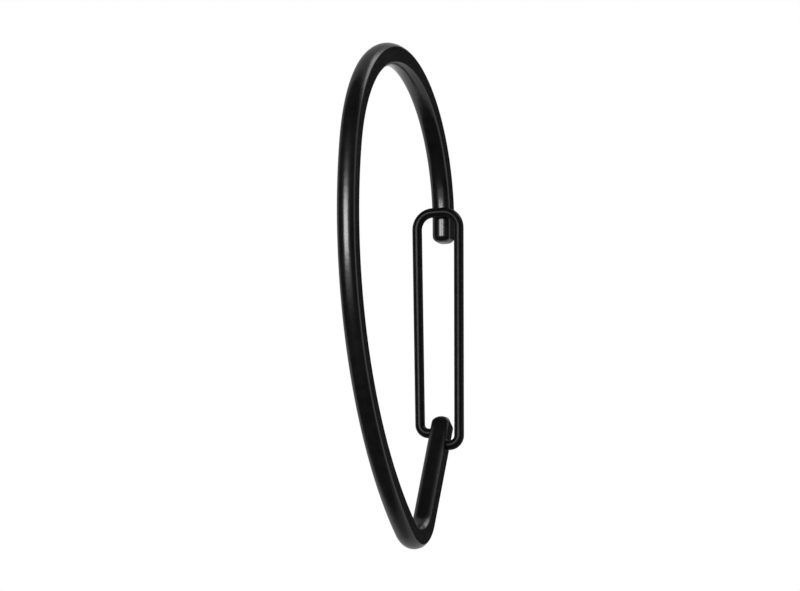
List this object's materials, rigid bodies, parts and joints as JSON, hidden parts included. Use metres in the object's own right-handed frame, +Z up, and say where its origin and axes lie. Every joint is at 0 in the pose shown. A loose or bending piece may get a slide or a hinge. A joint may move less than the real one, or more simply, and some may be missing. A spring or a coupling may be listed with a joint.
{
  "type": "shower curtain hook",
  "caption": "Open pear-shaped ring of black bar, closed by a sprung wire gate; hangs on a curtain rod and carries a curtain by an eyelet.",
  "frame": {"origin": "the point of the ring's inside, at the middle of its wide top, that rests on the rod", "axes": "+X along the rod, across the ring; +Y from the front limb to the gate; +Z up, from the eyelet end to the rod end"},
  "size_m": [0.0086, 0.0506, 0.0795],
  "materials": {
    "ring_coat": "satin black coating on a formed metal bar",
    "gate_coat": "satin black coating on spring wire"
  },
  "bodies": {
    "ring": {"ring_body": "ring_coat"},
    "gate": {"gate_wire": "gate_coat"}
  },
  "joints": [
    {"name": "gate_swing", "type": "hinge", "parent": "ring", "child": "gate", "pos_m": [0, 0.01424, -0.05933], "axis": [1, 0, 0], "range_deg": [0, 72], "stiffness_Nm_per_rad": 0.03, "springref_deg": -17.19}
  ]
}
